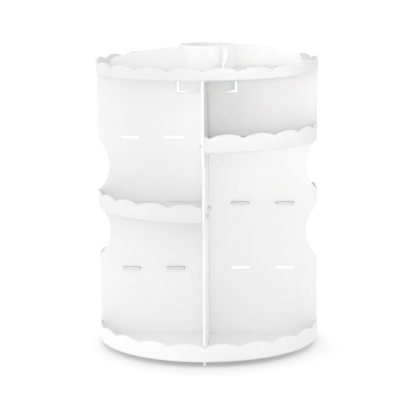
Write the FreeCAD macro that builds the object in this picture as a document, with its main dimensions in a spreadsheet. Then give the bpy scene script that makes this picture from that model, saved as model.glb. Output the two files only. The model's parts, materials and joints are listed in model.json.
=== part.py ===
import FreeCAD, Part
import Sketcher
import math
import os
import re

# A white knock-down makeup carousel. Four upright boards stand in a cross on a round base tray,
# quarter shelves plug into their slots, and a top tray with a brush cup closes the cross.
# The carousel turns on a ring of balls over a foot plate.
# Frame: millimetres, +Z up, the origin on the table under the axis, the front board along -Y.

SIZES = {
    # Round trays
    "tray_radius": 115.0,
    "rim_wall": 2.0,
    "rim_flare": 0.8,
    "floor_wall": 2.5,
    "edge_round": 1.8,
    "tray_lift": 5.0,
    "base_rim_height": 19.0,
    "top_rim_height": 13.4,
    # Scallops along every rim and lip
    "lobe_count": 20,
    "scallop_depth": 4.3,
    "lobe_flat": 0.06,
    # Boards
    "board_count": 4,
    "board_height": 277.8,
    "board_inset": 1.0,
    "board_wall": 2.5,
    "mitre_gap": 0.2,
    "rim_clear": 0.3,
    "scoop_radius_share": 0.53,
    "scoop_depth": 11.2,
    "scoop_rise": 5.5,
    "shoulder_radius": 9.0,
    # Tabs of the boards in the two trays: the outer ones are placed from the rim,
    # and the inner ones of the base stand midway between the hub and the ball cage
    "board_tab_length": 18.0,
    "board_tab_poke": 1.3,
    "board_tab_clear": 0.2,
    "outer_base_tab_inset": 22.5,
    "inner_top_tab": 40.0,
    "outer_top_tab_inset": 27.0,
    "table_clear": 1.0,
    # Slots in the boards and the shelves that plug into them
    "level_count": 3,
    "level_lift": 1.0,
    "slot_height": 2.8,
    "slot_length": 18.8,
    "inner_slot_place": 34.0,
    "outer_slot_inset": 34.5,
    "shelf_inset": 0.5,
    "shelf_wall": 2.5,
    "shelf_gap": 0.3,
    "lip_height": 18.8,
    "lip_lobe_count": 5,
    "lip_lead": 6.6,
    "lip_tail": 1.4,
    "shelf_tab_width": 17.8,
    "shelf_tab_poke": 3.6,
    "shelf_tab_lead": 1.2,
    # Brush cup and its divider fins
    "cup_radius": 29.0,
    "cup_wall": 1.8,
    "cup_height": 47.2,
    "cup_drop": 19.7,
    "cup_hole_clear": 0.3,
    "cup_side_gap": 1.9,
    "cup_under_gap": 2.8,
    "fin_count": 4,
    "fin_wall": 1.8,
    "fin_offset": 16.2,
    "fin_bow": 6.2,
    "fin_step": 0.4,
    "fin_crest_inset": 23.0,
    "fin_crest_drop": 9.5,
    "fin_end_clear": 0.3,
    # Foot plate and its rubber feet
    "foot_inset": 29.0,
    "plate_wall": 1.8,
    "plate_lip": 1.2,
    "foot_stand": 1.0,
    "pad_count": 6,
    "pad_radius": 6.0,
    "pad_inset": 12.0,
    "pad_sink": 0.5,
    "pad_clear": 0.1,
    # Ring of balls in its two channels
    "race_inset": 26.0,
    "ball_count": 8,
    "ball_radius": 1.5,
    "race_play": 0.05,
    "race_depth": 0.5,
    "race_side_clear": 0.15,
    "cage_wall": 1.2,
    "cage_gap": 0.4,
    "cage_half_width": 4.6,
    "cage_clear": 0.15,
    # Pivot
    "hub_radius": 13.5,
    "hub_gap": 0.6,
    "recess_radius": 10.5,
    "recess_depth": 1.0,
    "pin_radius": 6.0,
    "pin_clear": 0.08,
    "pivot_play": 0.1,
    "washer_radius": 9.5,
    "washer_wall": 0.8,
    "washer_clear": 0.25,
    "screw_radius": 1.9,
    "screw_length": 5.4,
    "screw_point": 1.4,
    "screw_clear": 0.03,
    "screw_run_out": 0.4,
    "head_radius": 4.2,
    "head_height": 0.7,
    "head_bevel": 0.3,
    "drive_width": 1.0,
    "drive_span": 4.4,
    "drive_depth": 0.4,
    # How far every cut runs past the surface that it leaves
    "overrun": 5.0,
}

# Places and sizes that follow from the ones above
DERIVED = {
    "lobe_step": "360 / lobe_count",
    "tray_foot": "tray_radius - rim_flare",
    "shelf_radius": "tray_radius - shelf_inset",
    "shelf_foot": "shelf_radius - rim_flare",
    # The lobes of a lip lie between a lead and a tail along its rim
    "lip_start": "lip_lead / shelf_radius * 180 / pi",
    "lip_turn": "90 - lip_start - lip_tail / shelf_radius * 180 / pi",
    "lip_step": "lip_turn / lip_lobe_count",
    "board_reach": "tray_radius - board_inset",
    "inner_base_tab": "(hub_radius + race_radius - cage_half_width - board_tab_length) / 2",
    "outer_base_tab": "tray_radius - outer_base_tab_inset",
    "outer_top_tab": "tray_radius - outer_top_tab_inset",
    "outer_slot_place": "tray_radius - outer_slot_inset",
    "floor_top": "tray_lift + floor_wall",
    "top_place": "floor_top + board_height",
    "level_pitch": "(board_height - level_lift) / (level_count + 1)",
    "scoop_radius": "level_pitch * scoop_radius_share",
    "foot_radius": "tray_radius - foot_inset",
    "pad_place": "foot_radius - pad_inset",
    "race_radius": "foot_radius - race_inset",
    "race_half": "ball_radius + race_side_clear",
    "plate_top": "foot_stand + plate_wall",
    "ball_place": "plate_top - race_depth + race_play + ball_radius",
    "race_roof": "ball_place + ball_radius + race_play",
    "hub_top": "tray_lift - hub_gap",
    "recess_top": "foot_stand + recess_depth",
    "pin_end": "recess_top - pivot_play",
    "head_top": "pin_end - washer_wall",
    "screw_tip": "head_top + screw_length",
    "side_face": "board_wall / 2 + shelf_gap",
    "tab_end": "board_wall / 2 + shelf_tab_poke",
    "cup_top": "cup_height - cup_drop",
    "fin_rest": "top_rim_height - scallop_depth",
    "fin_start": "sqrt((cup_radius - cup_wall / 2)^2 - fin_offset^2)",
    "fin_end": "sqrt((tray_foot - rim_wall - fin_end_clear)^2 - (fin_offset + fin_wall)^2)",
    "fin_crest_reach": "tray_radius - fin_crest_inset",
    "rebate_reach": "tray_foot - rim_wall - rim_clear",
    "rebate_height": "base_rim_height - scallop_depth - floor_wall + board_wall / 2 + rim_clear",
    "notch_half": "cup_radius + cup_side_gap",
    "notch_floor": "board_height - cup_drop - cup_under_gap",
}

QUARTER_TURN = "90"
FULL_TURN = "360"

doc = FreeCAD.newDocument("makeup_carousel")
sheet = doc.addObject("Spreadsheet::Sheet", "sizes")
for row, (alias, size) in enumerate(SIZES.items(), start=1):
    sheet.set(f"A{row}", alias)
    sheet.set(f"B{row}", str(size))
    sheet.setAlias(f"B{row}", alias)
doc.recompute()


def full(expression):
    """Spell an expression out in the sheet's own cells."""

    def swap(match):
        word = match.group(0)
        if word in DERIVED:
            return "(" + full(DERIVED[word]) + ")"
        if word in SIZES:
            return "sizes." + word
        return word

    return re.sub(r"[A-Za-z_]\w*", swap, expression)


def number(expression):
    """The value that an expression has now."""
    answer = sheet.evalExpression(full(expression))
    return float(getattr(answer, "Value", answer))


def bind(item, **expressions):
    """Tie properties of one object to the sheet."""
    for name, expression in expressions.items():
        item.setExpression(name.replace("__", "."), full(expression))


def origin_feature(body, role):
    """One of a body's own axes or planes."""
    return next(item for item in body.Origin.OriginFeatures if item.Role == role)


def new_body(label, height="0", turn="0"):
    """An empty body, lifted and turned about the vertical axis."""
    body = doc.addObject("PartDesign::Body", label)
    body.Label = label
    body.Placement = FreeCAD.Placement(
        FreeCAD.Vector(), FreeCAD.Rotation(FreeCAD.Vector(0, 0, 1), number(turn))
    )
    bind(body, Placement__Base__z=height)
    return body


def new_sketch(body, name, role, lift="0"):
    """A sketch on one of the body's origin planes, shifted along its normal."""
    sketch = body.newObject("Sketcher::SketchObject", name)
    sketch.AttachmentSupport = [(origin_feature(body, role), "")]
    sketch.MapMode = "FlatFace"
    bind(sketch, AttachmentOffset__Base__z=lift)
    return sketch


def arc_between(start, end, radius, turn):
    """The short arc from start to end, its centre left of the way for turn 1 and right of it for -1."""
    way = end - start
    left = FreeCAD.Vector(-way.y, way.x, 0).normalize()
    reach = math.sqrt(max(radius**2 - (way.Length / 2) ** 2, 0))
    centre = (start + end) * 0.5 + left * (reach * turn)
    first = math.atan2(start.y - centre.y, start.x - centre.x)
    last = math.atan2(end.y - centre.y, end.x - centre.x)
    if turn < 0:
        first, last = last, first
    if last < first:
        last += 2 * math.pi
    return Part.ArcOfCircle(Part.Circle(centre, FreeCAD.Vector(0, 0, 1), radius), first, last)


def pin_point(constraints, ties, edge, end, across, up):
    """Hold one end of an edge at a place given by two expressions."""
    for kind, axis, expression in (("DistanceX", -2, across), ("DistanceY", -1, up)):
        if expression == "0":
            constraints.append(Sketcher.Constraint("PointOnObject", edge, end, axis))
        else:
            ties.append((len(constraints), expression))
            constraints.append(Sketcher.Constraint(kind, -1, 1, edge, end, number(expression)))


def finish_sketch(sketch, constraints, ties):
    """Add constraints and bind those that carry a size."""
    first = sketch.ConstraintCount
    sketch.addConstraint(constraints)
    for place, expression in ties:
        sketch.setExpression(f"Constraints[{first + place}]", full(expression))


def draw(sketch, points):
    """A closed outline. Each point is (across, up), or (across, up, radius, turn) where an arc leaves it."""
    first = sketch.GeometryCount
    places = [FreeCAD.Vector(number(point[0]), number(point[1]), 0) for point in points]
    edges = []
    ends = []
    for index, point in enumerate(points):
        start = places[index]
        end = places[(index + 1) % len(places)]
        if len(point) == 2:
            edges.append(Part.LineSegment(start, end))
            ends.append((1, 2))
        else:
            edges.append(arc_between(start, end, number(point[2]), point[3]))
            ends.append((1, 2) if point[3] > 0 else (2, 1))
    sketch.addGeometry(edges, False)
    constraints = []
    ties = []
    for index, point in enumerate(points):
        edge = first + index
        before = (index - 1) % len(points)
        start = ends[index][0]
        constraints.append(Sketcher.Constraint("Coincident", first + before, ends[before][1], edge, start))
        pin_point(constraints, ties, edge, start, point[0], point[1])
        if len(point) > 2:
            ties.append((len(constraints), point[2]))
            constraints.append(Sketcher.Constraint("Radius", edge, number(point[2])))
    finish_sketch(sketch, constraints, ties)


def draw_box(sketch, left, right, low, high):
    """A rectangle between four expressions."""
    draw(sketch, [(left, low), (right, low), (right, high), (left, high)])


def draw_circle(sketch, across, up, radius):
    """A circle about a place given by two expressions."""
    edge = sketch.GeometryCount
    centre = FreeCAD.Vector(number(across), number(up), 0)
    sketch.addGeometry(Part.Circle(centre, FreeCAD.Vector(0, 0, 1), number(radius)), False)
    constraints = []
    ties = []
    pin_point(constraints, ties, edge, 3, across, up)
    ties.append((len(constraints), radius))
    constraints.append(Sketcher.Constraint("Radius", edge, number(radius)))
    finish_sketch(sketch, constraints, ties)


def pad(body, name, sketch, length):
    """Raise a sketch along its normal."""
    feature = body.newObject("PartDesign::Pad", name)
    feature.Profile = sketch
    bind(feature, Length=length)
    return feature


def cut_through(body, name, sketch, both_ways=False):
    """Cut a sketch along its normal through everything on that side, or on both."""
    feature = body.newObject("PartDesign::Pocket", name)
    feature.Profile = sketch
    feature.Type = "ThroughAll"
    feature.Reversed = not both_ways
    if both_ways:
        feature.SideType = "Symmetric"
    return feature


def cut_deep(body, name, sketch, depth):
    """Cut a sketch along its normal to a depth."""
    feature = body.newObject("PartDesign::Pocket", name)
    feature.Profile = sketch
    feature.Reversed = True
    bind(feature, Length=depth)
    return feature


def revolve(body, name, sketch, angle=FULL_TURN, kind="Revolution"):
    """Turn a half section about the vertical axis."""
    feature = body.newObject("PartDesign::" + kind, name)
    feature.Profile = sketch
    feature.ReferenceAxis = (sketch, ["V_Axis"])
    bind(feature, Angle=angle)
    return feature


def repeat(body, name, feature, count, angle=FULL_TURN):
    """Repeat a feature about the vertical axis."""
    pattern = body.newObject("PartDesign::PolarPattern", name)
    pattern.Originals = [feature]
    pattern.Axis = (origin_feature(body, "Z_Axis"), [""])
    bind(pattern, Angle=angle, Occurrences=count)
    body.Tip = pattern
    return pattern


def scallop(body, radius, peak, count, step="lobe_step", start="0", angle=FULL_TURN):
    """Cut the valleys between the lobes of a rim: two lobe arcs that meet in a cusp."""
    half = f"({radius}) * sin({step} / 2)"
    lobe = f"(({half})^2 + scallop_depth^2) / (2 * scallop_depth)"
    sketch = new_sketch(body, body.Label + "_valley", "YZ_Plane")
    sketch.AttachmentOffset = FreeCAD.Placement(
        FreeCAD.Vector(), FreeCAD.Rotation(FreeCAD.Vector(0, 1, 0), number(start))
    )
    bind(sketch, AttachmentOffset__Rotation__Angle=start)
    draw(
        sketch,
        [
            ("0", f"{peak} - scallop_depth", lobe, -1),
            (half, peak),
            (half, f"{peak} + overrun"),
            (f"-({half})", f"{peak} + overrun"),
            (f"-({half})", peak, lobe, -1),
        ],
    )
    valley = cut_through(body, body.Label + "_valley_cut", sketch)
    return repeat(body, body.Label + "_valleys", valley, count, angle)


def tab_slots(body, starts):
    """Cut the four pairs of floor slots that take the boards' tabs."""
    sketch = new_sketch(body, body.Label + "_slot", "XY_Plane")
    half = "board_wall / 2 + board_tab_clear"
    for start in starts:
        draw_box(
            sketch,
            f"{start} - board_tab_clear",
            f"{start} + board_tab_length + board_tab_clear",
            f"-({half})",
            half,
        )
    slots = cut_through(body, body.Label + "_slot_cut", sketch, both_ways=True)
    return repeat(body, body.Label + "_slots", slots, "board_count")


def draw_dish(sketch, foot, height, floor, inside):
    """Half section of a round dish: rounded lower edge, flared rim, level floor, then the inside points."""
    lean = f"rim_flare / {height}"
    top = f"({height} - lobe_flat)"
    corner = f"{foot} + edge_round * {lean}"
    draw(
        sketch,
        [
            (f"{corner} - edge_round", "0", "edge_round", 1),
            (corner, "edge_round"),
            (f"{foot} + {top} * {lean}", top),
            (f"{foot} + {top} * {lean} - rim_wall", top),
            (f"{foot} + {floor} * {lean} - rim_wall", floor),
            *inside,
        ],
    )


def make_base_tray():
    """The lower tray: floor, scalloped rim, ball channel and pivot pin."""
    body = new_body("base_tray", "tray_lift")
    bore = "screw_radius + screw_clear"
    bore_end = "screw_tip + screw_run_out - tray_lift"
    inside = [
        ("0", "floor_wall"),
        ("0", bore_end),
        (bore, bore_end),
        (bore, "pin_end - tray_lift"),
        ("pin_radius", "pin_end - tray_lift"),
        ("pin_radius", "0"),
        ("race_radius - race_half", "0"),
        ("race_radius - race_half", "race_roof - tray_lift"),
        ("race_radius + race_half", "race_roof - tray_lift"),
        ("race_radius + race_half", "0"),
    ]
    sketch = new_sketch(body, "base_tray_section", "XZ_Plane")
    draw_dish(sketch, "tray_foot", "base_rim_height", "floor_wall", inside)
    revolve(body, "base_tray_turned", sketch)
    scallop(body, "tray_radius", "base_rim_height", "lobe_count")
    tab_slots(body, ("inner_base_tab", "outer_base_tab"))
    return body


def make_top_tray():
    """The upper tray: floor with the cup's hole, and a scalloped rim."""
    body = new_body("top_tray", "top_place")
    hole = "cup_radius + cup_hole_clear"
    sketch = new_sketch(body, "top_tray_section", "XZ_Plane")
    draw_dish(sketch, "tray_foot", "top_rim_height", "floor_wall", [(hole, "floor_wall"), (hole, "0")])
    revolve(body, "top_tray_turned", sketch)
    scallop(body, "tray_radius", "top_rim_height", "lobe_count")
    tab_slots(body, ("inner_top_tab", "outer_top_tab"))
    return body


def make_brush_cup():
    """The brush cup, sunk through the top tray, with four bowed divider fins."""
    body = new_body("brush_cup", "top_place")
    sketch = new_sketch(body, "cup_section", "XZ_Plane")
    draw(
        sketch,
        [
            ("0", "-cup_drop"),
            ("cup_radius", "-cup_drop"),
            ("cup_radius", "cup_top - cup_wall / 2", "cup_wall / 2", 1),
            ("cup_radius - cup_wall / 2", "cup_top", "cup_wall / 2", 1),
            ("cup_radius - cup_wall", "cup_top - cup_wall / 2"),
            ("cup_radius - cup_wall", "cup_wall - cup_drop"),
            ("0", "cup_wall - cup_drop"),
        ],
    )
    revolve(body, "cup_turned", sketch)
    bend = "((fin_end - fin_start)^2 / 4 + fin_bow^2) / (2 * fin_bow)"
    plan = new_sketch(body, "fin_plan", "XY_Plane", "floor_wall")
    draw(
        plan,
        [
            ("fin_start", "fin_offset - fin_wall / 2", bend, -1),
            ("fin_end", "fin_offset - fin_wall / 2"),
            ("fin_end", "fin_offset + fin_wall / 2", bend, 1),
            ("fin_start", "fin_offset + fin_wall / 2"),
        ],
    )
    fin = pad(body, "fin", plan, "cup_top - cup_wall / 2 - floor_wall")
    repeat(body, "fins", fin, "fin_count")
    run = "fin_crest_reach - cup_radius"
    crest = f"(({run})^2 + fin_crest_drop^2) / (2 * fin_crest_drop)"
    root = "cup_top - cup_wall / 2 - fin_step"
    nose = f"{root} - fin_crest_drop - fin_rest"
    trim = new_sketch(body, "fin_crest", "XZ_Plane")
    draw(
        trim,
        [
            ("cup_radius", root, crest, -1),
            ("fin_crest_reach", f"{root} - fin_crest_drop", nose, -1),
            (f"fin_crest_reach + {nose}", "fin_rest"),
            ("tray_radius + overrun", "fin_rest"),
            ("tray_radius + overrun", "cup_top + overrun"),
            ("cup_radius", "cup_top + overrun"),
        ],
    )
    revolve(body, "fin_crest_cut", trim, kind="Groove")
    return body


def level_height(level):
    """How high a board's slots of one level lie above the base tray's floor."""
    return f"(level_lift + {level} * level_pitch)"


def draw_scoop(sketch, centre):
    """One finger scoop in a board's outer edge, with rounded shoulders."""
    joined = "(scoop_radius + shoulder_radius)"
    inset = "(scoop_radius - scoop_depth + shoulder_radius)"
    rise = f"sqrt({joined}^2 - {inset}^2)"
    turn_x = f"board_reach + scoop_radius - scoop_depth - scoop_radius * {inset} / {joined}"
    turn_z = f"{rise} * scoop_radius / {joined}"
    draw(
        sketch,
        [
            ("board_reach + overrun", f"{centre} - {rise}"),
            ("board_reach", f"{centre} - {rise}", "shoulder_radius", 1),
            (turn_x, f"{centre} - {turn_z}", "scoop_radius", -1),
            (turn_x, f"{centre} + {turn_z}", "shoulder_radius", 1),
            ("board_reach", f"{centre} + {rise}"),
            ("board_reach + overrun", f"{centre} + {rise}"),
        ],
    )


def draw_board_ends(sketch):
    """What is cut away between the tabs at a board's foot and head, with the notch for the cup."""
    low = "-(floor_top + overrun)"
    high = "board_height + floor_wall + board_tab_poke + overrun"
    draw(
        sketch,
        [
            ("-overrun", "0"),
            ("inner_base_tab", "0"),
            ("inner_base_tab", "-(floor_wall + board_tab_poke)"),
            ("inner_base_tab + board_tab_length", "-(floor_wall + board_tab_poke)"),
            ("inner_base_tab + board_tab_length", "0"),
            ("outer_base_tab", "0"),
            ("outer_base_tab", low),
            ("-overrun", low),
        ],
    )
    draw(
        sketch,
        [
            ("outer_base_tab + board_tab_length", "0"),
            ("rebate_reach", "0"),
            ("rebate_reach", "rebate_height"),
            ("board_reach + overrun", "rebate_height"),
            ("board_reach + overrun", low),
            ("outer_base_tab + board_tab_length", low),
        ],
    )
    draw(
        sketch,
        [
            ("-overrun", "notch_floor"),
            ("notch_half", "notch_floor"),
            ("notch_half", "board_height"),
            ("inner_top_tab", "board_height"),
            ("inner_top_tab", high),
            ("-overrun", high),
        ],
    )
    draw_box(sketch, "inner_top_tab + board_tab_length", "outer_top_tab", "board_height", high)
    draw_box(sketch, "outer_top_tab + board_tab_length", "board_reach + overrun", "board_height", high)


def make_board(label, turn):
    """An upright board: mitred at the axis, slotted for shelves, scooped along its outer edge."""
    body = new_body(label, "floor_top", turn)
    drop = "floor_top - table_clear"
    half = "board_wall / 2"
    plan = new_sketch(body, label + "_plan", "XY_Plane", f"-({drop})")
    draw(
        plan,
        [
            ("mitre_gap", "0"),
            (f"mitre_gap + {half}", f"-{half}"),
            ("board_reach", f"-{half}"),
            ("board_reach", half),
            (f"mitre_gap + {half}", half),
        ],
    )
    pad(body, label + "_blank", plan, f"{drop} + board_height + floor_wall + board_tab_poke")
    ends = new_sketch(body, label + "_ends", "XZ_Plane")
    draw_board_ends(ends)
    cut_through(body, label + "_ends_cut", ends, both_ways=True)
    openings = new_sketch(body, label + "_openings", "XZ_Plane")
    levels = range(1, round(number("level_count")) + 1)
    for level in levels:
        for place in ("inner_slot_place", "outer_slot_place"):
            draw_box(
                openings,
                f"{place} - slot_length / 2",
                f"{place} + slot_length / 2",
                f"{level_height(level)} - slot_height / 2",
                f"{level_height(level)} + slot_height / 2",
            )
    for level in levels[:-1]:
        draw_scoop(openings, f"({level_height(level)} + level_pitch / 2 + scoop_rise)")
    body.Tip = cut_through(body, label + "_openings_cut", openings, both_ways=True)
    return body


def draw_shelf_tab(sketch, place, along_x):
    """One tab of a shelf, with its leading corners cut back."""
    half = "shelf_tab_width / 2"
    points = [
        (f"{place} - {half}", "side_face + shelf_wall"),
        (f"{place} - {half}", "-tab_end + shelf_tab_lead"),
        (f"{place} - {half} + shelf_tab_lead", "-tab_end"),
        (f"{place} + {half} - shelf_tab_lead", "-tab_end"),
        (f"{place} + {half}", "-tab_end + shelf_tab_lead"),
        (f"{place} + {half}", "side_face + shelf_wall"),
    ]
    if not along_x:
        points = [(up, across) for across, up in points]
    draw(sketch, points)


def make_shelf(label, level, turn):
    """A quarter shelf: floor, scalloped lip and two tabs along each straight side."""
    body = new_body(label, f"floor_top + {level_height(level)} - shelf_wall / 2", turn)
    section = new_sketch(body, label + "_section", "XZ_Plane")
    draw_dish(section, "shelf_foot", "lip_height", "shelf_wall", [("0", "shelf_wall"), ("0", "0")])
    revolve(body, label + "_turned", section, QUARTER_TURN)
    sides = new_sketch(body, label + "_sides", "XY_Plane")
    draw(
        sides,
        [
            ("-overrun", "-overrun"),
            ("shelf_radius + overrun", "-overrun"),
            ("shelf_radius + overrun", "side_face"),
            ("side_face", "side_face"),
            ("side_face", "shelf_radius + overrun"),
            ("-overrun", "shelf_radius + overrun"),
        ],
    )
    cut_through(body, label + "_sides_cut", sides, both_ways=True)
    scallop(
        body, "shelf_radius", "lip_height", "lip_lobe_count + 1", "lip_step", "lip_start", "lip_turn"
    )
    tabs = new_sketch(body, label + "_tabs", "XY_Plane")
    for place in ("inner_slot_place", "outer_slot_place"):
        draw_shelf_tab(tabs, place, True)
        draw_shelf_tab(tabs, place, False)
    body.Tip = pad(body, label + "_tabs_raised", tabs, "shelf_wall")
    return body


def make_foot_plate():
    """The still plate on the table: ball channel, pivot hub and recesses for the rubber feet."""
    body = new_body("foot_plate")
    bore = "pin_radius + pin_clear"
    sketch = new_sketch(body, "foot_plate_section", "XZ_Plane")
    draw(
        sketch,
        [
            (bore, "recess_top"),
            ("recess_radius", "recess_top"),
            ("recess_radius", "foot_stand"),
            ("foot_radius", "foot_stand"),
            ("foot_radius", "plate_top + plate_lip"),
            ("foot_radius - plate_wall", "plate_top + plate_lip"),
            ("foot_radius - plate_wall", "plate_top"),
            ("race_radius + race_half", "plate_top"),
            ("race_radius + race_half", "plate_top - race_depth"),
            ("race_radius - race_half", "plate_top - race_depth"),
            ("race_radius - race_half", "plate_top"),
            ("hub_radius", "plate_top"),
            ("hub_radius", "hub_top"),
            (bore, "hub_top"),
        ],
    )
    revolve(body, "foot_plate_turned", sketch)
    seat = new_sketch(body, "pad_seat", "XY_Plane", "foot_stand")
    draw_circle(seat, "pad_place", "0", "pad_radius + pad_clear")
    repeat(body, "pad_seats", cut_deep(body, "pad_seat_cut", seat, "pad_sink"), "pad_count")
    return body


def make_ring_of(kind, label, count, radius, height, sizes):
    """Equal loose solids spread about the axis, kept together as one group."""
    copies = []
    for index in range(round(number(count))):
        copy = doc.addObject("Part::" + kind, f"{label}_{index + 1}")
        angle = f"{index} * 360 / {count}"
        bind(
            copy,
            Placement__Base__x=f"{radius} * cos({angle})",
            Placement__Base__y=f"{radius} * sin({angle})",
            Placement__Base__z=height,
            **sizes,
        )
        copies.append(copy)
    group = doc.addObject("Part::Compound", label)
    group.Label = label
    group.Links = copies
    return group


def make_rubber_feet():
    """The soft feet that the foot plate stands on."""
    sizes = {"Radius": "pad_radius", "Height": "foot_stand + pad_sink"}
    return make_ring_of("Cylinder", "rubber_feet", "pad_count", "pad_place", "0", sizes)


def make_bearing_balls():
    """The balls that carry the carousel."""
    sizes = {"Radius": "ball_radius"}
    return make_ring_of("Sphere", "bearing_balls", "ball_count", "race_radius", "ball_place", sizes)


def make_ball_cage():
    """The flat ring that spaces the balls."""
    body = new_body("ball_cage", "plate_top + cage_gap")
    ring = new_sketch(body, "cage_ring", "XY_Plane")
    draw_circle(ring, "0", "0", "race_radius + cage_half_width")
    draw_circle(ring, "0", "0", "race_radius - cage_half_width")
    pad(body, "cage_blank", ring, "cage_wall")
    hole = new_sketch(body, "cage_hole", "XY_Plane")
    draw_circle(hole, "race_radius", "0", "ball_radius + cage_clear")
    repeat(body, "cage_holes", cut_through(body, "cage_hole_cut", hole), "ball_count")
    return body


def make_pivot_washer():
    """The washer that keeps the pin in its hub."""
    body = new_body("pivot_washer", "head_top")
    ring = new_sketch(body, "washer_ring", "XY_Plane")
    draw_circle(ring, "0", "0", "washer_radius")
    draw_circle(ring, "0", "0", "screw_radius + washer_clear")
    pad(body, "washer_blank", ring, "washer_wall")
    return body


def make_pivot_screw():
    """The low-headed screw driven up into the pin from below."""
    body = new_body("pivot_screw", "head_top")
    section = new_sketch(body, "screw_section", "XZ_Plane")
    draw(
        section,
        [
            ("0", "-head_height"),
            ("head_radius - head_bevel", "-head_height"),
            ("head_radius", "head_bevel - head_height"),
            ("head_radius", "0"),
            ("screw_radius", "0"),
            ("screw_radius", "screw_length - screw_point"),
            ("0", "screw_length"),
        ],
    )
    revolve(body, "screw_turned", section)
    half = "drive_width / 2"
    reach = "drive_span / 2"
    drive = new_sketch(body, "screw_drive", "XY_Plane", "-head_height")
    draw(
        drive,
        [
            (half, half),
            (half, reach),
            (f"-{half}", reach),
            (f"-{half}", half),
            (f"-{reach}", half),
            (f"-{reach}", f"-{half}"),
            (f"-{half}", f"-{half}"),
            (f"-{half}", f"-{reach}"),
            (half, f"-{reach}"),
            (half, f"-{half}"),
            (reach, f"-{half}"),
            (reach, half),
        ],
    )
    body.Tip = cut_deep(body, "screw_drive_cut", drive, "drive_depth")
    return body


def check(parts):
    """Stop unless every object was made and every part is a sound solid."""
    failed = [item.Name for item in doc.Objects if {"Invalid", "Error"} & set(item.State)]
    for part in parts:
        if part.Shape.isNull() or not part.Shape.isValid() or not part.Shape.Solids:
            failed.append(part.Label)
    if failed:
        raise RuntimeError("not sound: " + ", ".join(failed))


parts = [
    make_base_tray(),
    make_top_tray(),
    make_brush_cup(),
    make_board("right_board", "0"),
    make_board("back_board", "360 / board_count"),
    make_board("left_board", "2 * 360 / board_count"),
    make_board("front_board", "3 * 360 / board_count"),
    make_shelf("back_right_shelf", "2", "0"),
    make_shelf("back_left_shelf", "1", "360 / board_count"),
    make_shelf("front_left_shelf", "2", "2 * 360 / board_count"),
    make_shelf("front_right_shelf", "3", "3 * 360 / board_count"),
    make_foot_plate(),
    make_rubber_feet(),
    make_ball_cage(),
    make_bearing_balls(),
    make_pivot_washer(),
    make_pivot_screw(),
]
doc.recompute()
check(parts)

os.makedirs("parts", exist_ok=True)
for part in parts:
    part.Shape.exportStep(f"parts/{part.Label}.step")
    print(f"{part.Label}: {len(part.Shape.Solids)} solids, {part.Shape.Volume:.1f} mm3")
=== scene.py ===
import json
import math

import bpy
from mathutils import Matrix, Vector

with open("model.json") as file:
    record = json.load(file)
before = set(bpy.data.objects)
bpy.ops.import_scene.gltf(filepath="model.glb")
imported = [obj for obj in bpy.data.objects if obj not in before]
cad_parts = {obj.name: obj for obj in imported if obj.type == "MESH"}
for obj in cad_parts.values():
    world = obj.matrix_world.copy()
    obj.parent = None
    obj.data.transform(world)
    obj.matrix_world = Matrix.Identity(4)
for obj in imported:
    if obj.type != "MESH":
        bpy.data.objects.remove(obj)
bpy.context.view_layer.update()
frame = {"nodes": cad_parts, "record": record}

# Camera, fitted to the photograph: turned a little to the right of the front board and looking down
IMAGE_SIZE = 416
SENSOR_MM = 36.0
CAMERA_AZIMUTH = 2.285
CAMERA_ELEVATION = 10.037
CAMERA_ROLL = -0.441
CAMERA_DISTANCE = 1.78444
CAMERA_TARGET = (0.000156, 0.0, 0.1412)
CAMERA_FOCAL_PX = 1705.17
CAMERA_REACH = 50.0

# Soft studio light: each lamp's name, place, aim, side of its square, spread in degrees and power
WHITE = (1.0, 1.0, 1.0, 1.0)
WORLD_STRENGTH = 0.94
BACKDROP_STRENGTH = 1.0
MIDDLE = (0.0, 0.0, 0.15)
UPPER_RIGHT = (0.06, -0.02, 0.26)
LAMPS = (
    ("left", (-2.6, -0.4, 0.8), MIDDLE, 1.6, 180.0, 10.5),
    ("right_front", (1.2, -2.4, 0.3), MIDDLE, 0.8, 180.0, 0.6),
    ("near", (0.07, -1.9, 0.48), MIDDLE, 0.4, 180.0, 1.8),
    ("upper", (0.08, -1.8, 0.42), UPPER_RIGHT, 0.12, 6.0, 0.0125),
)

# Floor: its half width, its own shade, the darker shade that the camera sees and the glow that lifts it
FLOOR_HALF = 12.0
FLOOR_SHADE = 0.9
FLOOR_SEEN = 0.75
FLOOR_LIFT = 0.37

# The painted shadow's soft run-out in front of the object, darkening the floor's seen shade and glow: which
# way the floor looks for it, how far and how deep
SHADOW_SIDE = (0.0, 0.95, 0.31)
SHADOW_REACH = 0.11
SHADOW_DEPTH = 0.32
SHADOW_SAMPLES = 16

# Noise textures: scale per metre, detail and roughness
CLOUDS = (9.0, 3.0, 0.5)
WAVES = (22.0, 1.0, 0.5)
GRAIN = (2600.0, 2.0, 0.6)
DUST = (420.0, 4.0, 0.65)
PITS = (1800.0, 2.0, 0.6)
SCRATCHES = (900.0, 5.0, 0.7)

# The parts of a noise's range that are spread out: between two values, and between two colours
VALUE_RANGE = (0.3, 0.7)
COLOUR_RANGE = (0.35, 0.65)

# Moulded plastic: how the gloss varies, the flow waves' strength and height, the grain's height
GLOSS_SWING = (-0.04, 0.05)
WAVE_STRENGTH = 0.15
WAVE_HEIGHT = 0.0004
GRAIN_HEIGHT = 0.00004
PLASTIC_IOR = 1.49
EDGE_SAMPLES = 6

# White plastic, one plastic on every piece: each family's paleness differs as painted light and shade (paler
# boards, darker shelf and top tray), and the roughness, grain and edge rounding that they share
WHITES_PAINTED_LIGHT_AND_SHADE = {
    "base_tray": 0.965,
    "board": 0.99,
    "shelf": 0.845,
    "top_tray": 0.82,
    "brush_cup": 0.955,
}
WHITE_CLOUD = 0.02
WHITE_FINISH = (0.42, 0.25, 0.00015)

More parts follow.
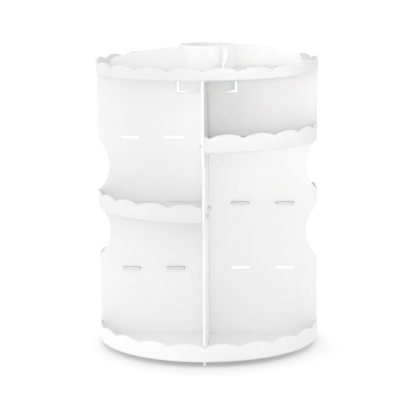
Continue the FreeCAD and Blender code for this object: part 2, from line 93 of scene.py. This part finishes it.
# The swivel's plastics: two shades, roughness, grain and edge rounding
SWIVEL_PLASTICS = {
    "foot_plastic": ((0.84, 0.84, 0.84), (0.8, 0.8, 0.8), 0.55, 0.4, 0.0005),
    "cage_plastic": ((0.7, 0.7, 0.67), (0.66, 0.66, 0.63), 0.5, 0.2, 0.0003),
}

# Rubber and steel: two shades, range of roughness, strength and height of the relief, edge rounding
RUBBER_SHADES = ((0.3, 0.3, 0.3), (0.36, 0.36, 0.355))
RUBBER_ROUGHNESS = (0.7, 0.88)
RUBBER_RELIEF = (0.4, 0.0001)
RUBBER_EDGE = 0.0005
STEEL_SHADES = ((0.6, 0.6, 0.61), (0.68, 0.68, 0.69))
STEEL_ROUGHNESS = (0.18, 0.34)
STEEL_RELIEF = (0.1, 0.00003)
STEEL_EDGE = 0.0003


def add_camera():
    """The camera of the photograph."""
    azimuth = math.radians(CAMERA_AZIMUTH)
    elevation = math.radians(CAMERA_ELEVATION)
    roll = math.radians(CAMERA_ROLL)
    outward = Vector((math.sin(azimuth), -math.cos(azimuth), 0.0))
    back = outward * math.cos(elevation) + Vector((0.0, 0.0, math.sin(elevation)))
    level = Vector((math.cos(azimuth), math.sin(azimuth), 0.0))
    rise = back.cross(level)
    right = level * math.cos(roll) + rise * math.sin(roll)
    up = rise * math.cos(roll) - level * math.sin(roll)
    place = Vector(CAMERA_TARGET) + back * CAMERA_DISTANCE
    data = bpy.data.cameras.new("camera")
    data.sensor_fit = "HORIZONTAL"
    data.sensor_width = SENSOR_MM
    data.lens = CAMERA_FOCAL_PX * SENSOR_MM / IMAGE_SIZE
    data.clip_end = CAMERA_REACH
    camera = bpy.data.objects.new("camera", data)
    bpy.context.scene.collection.objects.link(camera)
    camera.matrix_world = Matrix(
        (
            (right.x, up.x, back.x, place.x),
            (right.y, up.y, back.y, place.y),
            (right.z, up.z, back.z, place.z),
            (0.0, 0.0, 0.0, 1.0),
        )
    )
    bpy.context.scene.camera = camera


def empty_material(name):
    """A material with nothing but its output."""
    material = bpy.data.materials.new(name)
    material.use_nodes = True
    tree = material.node_tree
    tree.nodes.clear()
    output = tree.nodes.new("ShaderNodeOutputMaterial")
    return material, tree, output


def new_material(name):
    """A material with its shader and output."""
    material, tree, output = empty_material(name)
    shader = tree.nodes.new("ShaderNodeBsdfPrincipled")
    tree.links.new(shader.outputs["BSDF"], output.inputs["Surface"])
    return material, tree, shader


def noise(tree, scale, detail, roughness):
    """A noise texture in the object's own coordinates."""
    texture = tree.nodes.new("ShaderNodeTexNoise")
    texture.inputs["Scale"].default_value = scale
    texture.inputs["Detail"].default_value = detail
    texture.inputs["Roughness"].default_value = roughness
    place = tree.nodes.new("ShaderNodeTexCoord")
    tree.links.new(place.outputs["Object"], texture.inputs["Vector"])
    return texture.outputs["Fac"]


def spread(tree, factor, low, high):
    """Spread a noise between two values."""
    node = tree.nodes.new("ShaderNodeMapRange")
    node.inputs["From Min"].default_value, node.inputs["From Max"].default_value = VALUE_RANGE
    node.inputs["To Min"].default_value = low
    node.inputs["To Max"].default_value = high
    tree.links.new(factor, node.inputs["Value"])
    return node.outputs["Result"]


def tint(tree, factor, first, second):
    """Mix two colours by a noise."""
    node = tree.nodes.new("ShaderNodeValToRGB")
    for element, position, colour in zip(node.color_ramp.elements, COLOUR_RANGE, (first, second)):
        element.position = position
        element.color = (*colour, 1.0)
    tree.links.new(factor, node.inputs["Fac"])
    return node.outputs["Color"]


def bump(tree, height, strength, distance, normal):
    """Raise a texture a little out of the surface."""
    node = tree.nodes.new("ShaderNodeBump")
    node.inputs["Strength"].default_value = strength
    node.inputs["Distance"].default_value = distance
    tree.links.new(height, node.inputs["Height"])
    tree.links.new(normal, node.inputs["Normal"])
    return node.outputs["Normal"]


def soft_edges(tree, radius):
    """Round the sharp edges in the shading."""
    node = tree.nodes.new("ShaderNodeBevel")
    node.samples = EDGE_SAMPLES
    node.inputs["Radius"].default_value = radius
    return node.outputs["Normal"]


def moulded_plastic(name, pale, deep, rough, grain, edge):
    """Moulded plastic: a fine eroded grain, faint flow waves and a slightly uneven gloss."""
    material, tree, shader = new_material(name)
    cloud = noise(tree, *CLOUDS)
    fine = noise(tree, *GRAIN)
    wave = noise(tree, *WAVES)
    gloss = [rough + swing for swing in GLOSS_SWING]
    normal = soft_edges(tree, edge)
    normal = bump(tree, wave, WAVE_STRENGTH, WAVE_HEIGHT, normal)
    normal = bump(tree, fine, grain, GRAIN_HEIGHT, normal)
    tree.links.new(tint(tree, cloud, pale, deep), shader.inputs["Base Color"])
    tree.links.new(spread(tree, wave, *gloss), shader.inputs["Roughness"])
    tree.links.new(normal, shader.inputs["Normal"])
    shader.inputs["IOR"].default_value = PLASTIC_IOR
    return material


def rubber():
    """Soft grey rubber with a dusty surface."""
    material, tree, shader = new_material("foot_rubber")
    dust = noise(tree, *DUST)
    pits = noise(tree, *PITS)
    normal = bump(tree, pits, *RUBBER_RELIEF, soft_edges(tree, RUBBER_EDGE))
    tree.links.new(tint(tree, dust, *RUBBER_SHADES), shader.inputs["Base Color"])
    tree.links.new(spread(tree, dust, *RUBBER_ROUGHNESS), shader.inputs["Roughness"])
    tree.links.new(normal, shader.inputs["Normal"])
    return material


def steel():
    """Bright plated steel with fine scratches."""
    material, tree, shader = new_material("steel")
    scratch = noise(tree, *SCRATCHES)
    normal = bump(tree, scratch, *STEEL_RELIEF, soft_edges(tree, STEEL_EDGE))
    tree.links.new(tint(tree, scratch, *STEEL_SHADES), shader.inputs["Base Color"])
    tree.links.new(spread(tree, scratch, *STEEL_ROUGHNESS), shader.inputs["Roughness"])
    tree.links.new(normal, shader.inputs["Normal"])
    shader.inputs["Metallic"].default_value = 1.0
    return material


def dress_pieces():
    """Give every piece its material: whites by the end of its name, the others by their slot."""
    materials = {slot: moulded_plastic(slot, *finish) for slot, finish in SWIVEL_PLASTICS.items()}
    materials["foot_rubber"] = rubber()
    materials["steel"] = steel()
    # One white plastic, given a paleness per family as painted light and shade
    for family, pale in WHITES_PAINTED_LIGHT_AND_SHADE.items():
        deep = pale - WHITE_CLOUD
        shades = ((pale, pale, pale), (deep, deep, deep))
        materials[family] = moulded_plastic("white_plastic_painted_light_and_shade_" + family, *shades, *WHITE_FINISH)
    for subpart in frame["record"]["subparts"]:
        name = subpart["node"]
        families = [family for family in WHITES_PAINTED_LIGHT_AND_SHADE if name.endswith(family)]
        slots = frame["nodes"][name].data.materials
        slots.clear()
        slots.append(materials[families[0] if families else subpart["material_slot"]])


def combine(tree, operation, first, second):
    """Put two values together by a math node. The second may be a plain number."""
    node = tree.nodes.new("ShaderNodeMath")
    node.operation = operation
    tree.links.new(first, node.inputs[0])
    if isinstance(second, float):
        node.inputs[1].default_value = second
    else:
        tree.links.new(second, node.inputs[1])
    return node.outputs["Value"]


def seen_directly(tree):
    """One for rays from the camera and for rays that mirror or pass on its view, else zero."""
    path = tree.nodes.new("ShaderNodeLightPath").outputs
    first = combine(tree, "MAXIMUM", path["Is Camera Ray"], path["Is Glossy Ray"])
    return combine(tree, "MAXIMUM", first, path["Is Transmission Ray"])


def add_lamp(name, place, aim, size, spread_angle, power):
    """A soft square lamp."""
    data = bpy.data.lights.new(name, "AREA")
    data.shape = "SQUARE"
    data.size = size
    data.spread = math.radians(spread_angle)
    data.energy = power
    lamp = bpy.data.objects.new(name, data)
    bpy.context.scene.collection.objects.link(lamp)
    lamp.location = place
    lamp.rotation_euler = (Vector(aim) - Vector(place)).to_track_quat("-Z", "Y").to_euler()


def background(tree, strength):
    """White light from all round."""
    node = tree.nodes.new("ShaderNodeBackground")
    node.inputs["Color"].default_value = WHITE
    node.inputs["Strength"].default_value = strength
    return node.outputs["Background"]


def add_world():
    """Even soft light, and a white background behind the object."""
    world = bpy.data.worlds.new("studio")
    bpy.context.scene.world = world
    world.use_nodes = True
    tree = world.node_tree
    tree.nodes.clear()
    output = tree.nodes.new("ShaderNodeOutputWorld")
    mix = tree.nodes.new("ShaderNodeMixShader")
    tree.links.new(seen_directly(tree), mix.inputs["Fac"])
    tree.links.new(background(tree, WORLD_STRENGTH), mix.inputs[1])
    tree.links.new(background(tree, BACKDROP_STRENGTH), mix.inputs[2])
    tree.links.new(mix.outputs["Shader"], output.inputs["Surface"])


def painted_floor_shadow(tree):
    """Painted shadow: one on the open floor, and less where the object stands near on the shadow's side."""
    side = tree.nodes.new("ShaderNodeCombineXYZ")
    for axis, value in zip("XYZ", SHADOW_SIDE):
        side.inputs[axis].default_value = value
    shelter = tree.nodes.new("ShaderNodeAmbientOcclusion")
    shelter.samples = SHADOW_SAMPLES
    shelter.inputs["Distance"].default_value = SHADOW_REACH
    tree.links.new(side.outputs["Vector"], shelter.inputs["Normal"])
    soft = tree.nodes.new("ShaderNodeMapRange")
    soft.inputs["To Min"].default_value = 1.0 - SHADOW_DEPTH
    soft.inputs["To Max"].default_value = 1.0
    tree.links.new(shelter.outputs["AO"], soft.inputs["Value"])
    return soft.outputs["Result"]


def floor_material():
    """A pale floor that keeps the shadow and reads white to the camera where nothing shades it."""
    material, tree, output = empty_material("floor")
    seen = seen_directly(tree)
    # Painted shadow: the run-out darkens the floor's seen shade and its glow near the object
    soft = painted_floor_shadow(tree)
    shade = tree.nodes.new("ShaderNodeMapRange")
    shade.inputs["To Min"].default_value = FLOOR_SHADE
    tree.links.new(combine(tree, "MULTIPLY", soft, FLOOR_SEEN), shade.inputs["To Max"])
    tree.links.new(seen, shade.inputs["Value"])
    diffuse = tree.nodes.new("ShaderNodeBsdfDiffuse")
    tree.links.new(shade.outputs["Result"], diffuse.inputs["Color"])
    lift = combine(tree, "MULTIPLY", combine(tree, "MULTIPLY", seen, FLOOR_LIFT), soft)
    glow = tree.nodes.new("ShaderNodeEmission")
    tree.links.new(lift, glow.inputs["Strength"])
    both = tree.nodes.new("ShaderNodeAddShader")
    tree.links.new(diffuse.outputs["BSDF"], both.inputs[0])
    tree.links.new(glow.outputs["Emission"], both.inputs[1])
    tree.links.new(both.outputs["Shader"], output.inputs["Surface"])
    return material


def add_floor():
    """A wide flat floor under the object."""
    mesh = bpy.data.meshes.new("floor")
    corners = [(-1, -1), (1, -1), (1, 1), (-1, 1)]
    points = [(x * FLOOR_HALF, y * FLOOR_HALF, 0.0) for x, y in corners]
    mesh.from_pydata(points, [], [(0, 1, 2, 3)])
    mesh.materials.append(floor_material())
    floor = bpy.data.objects.new("floor", mesh)
    bpy.context.scene.collection.objects.link(floor)


add_camera()
dress_pieces()
add_world()
for lamp in LAMPS:
    add_lamp(*lamp)
add_floor()
bpy.context.scene.view_settings.view_transform = "Standard"
